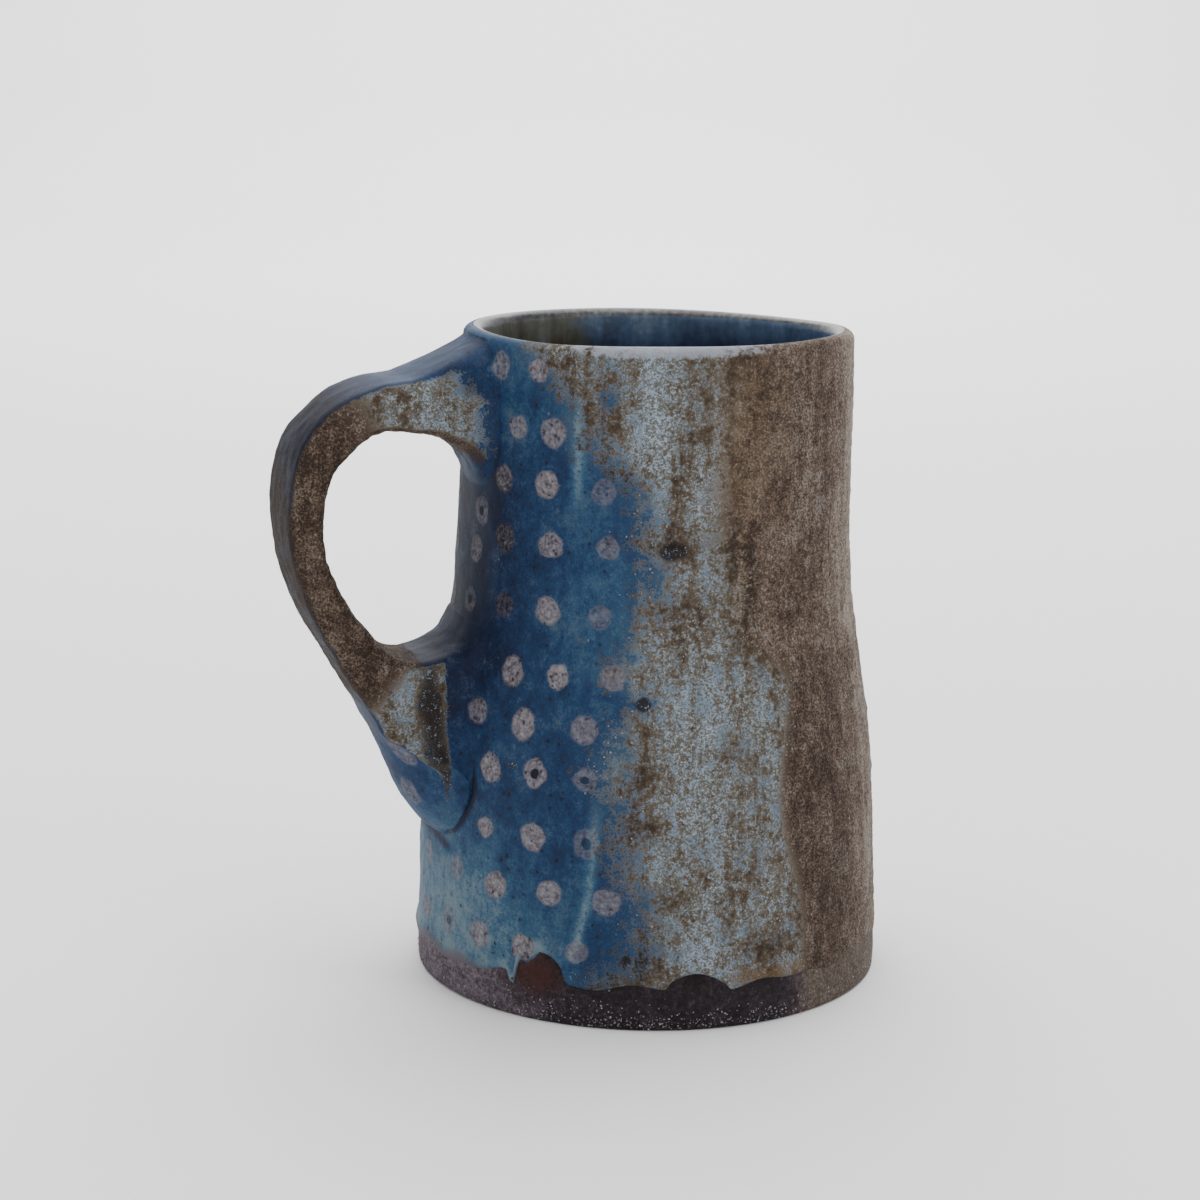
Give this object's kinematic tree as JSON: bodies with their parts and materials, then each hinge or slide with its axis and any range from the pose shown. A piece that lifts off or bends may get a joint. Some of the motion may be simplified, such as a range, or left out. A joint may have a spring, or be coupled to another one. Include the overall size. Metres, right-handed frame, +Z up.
{
  "type": "ceramic mug",
  "caption": "Handmade stoneware mug for hot drinks, with a straight neck over a soft belly, a bent strap handle and rows of slip dots beside it under an ash glaze.",
  "frame": {"origin": "centre of the flat foot, on the plane of the table", "axes": "+Z up along the mug's axis, towards the lip; -X out of the body towards the handle; +Y completes the right-handed frame"},
  "size_m": [0.1103, 0.0846, 0.115],
  "materials": {
    "clay": "bare dark brown stoneware with white grit",
    "ash_glaze": "satin cobalt blue running into speckled ash",
    "handle_glaze": "satin blue and brown with ash on the edges",
    "liner": "glossy grey-green with brown streaks",
    "slip": "matt pinkish-grey slip with dark specks"
  },
  "bodies": {
    "root": {"wall": "clay", "floor": "clay", "corner_coil": "clay", "handle_strap": "handle_glaze", "handle_upper_joint": "handle_glaze", "handle_lower_joint": "handle_glaze", "liner_glaze": "liner", "outer_glaze": "ash_glaze", "slip_dots": "slip"}
  },
  "joints": []
}
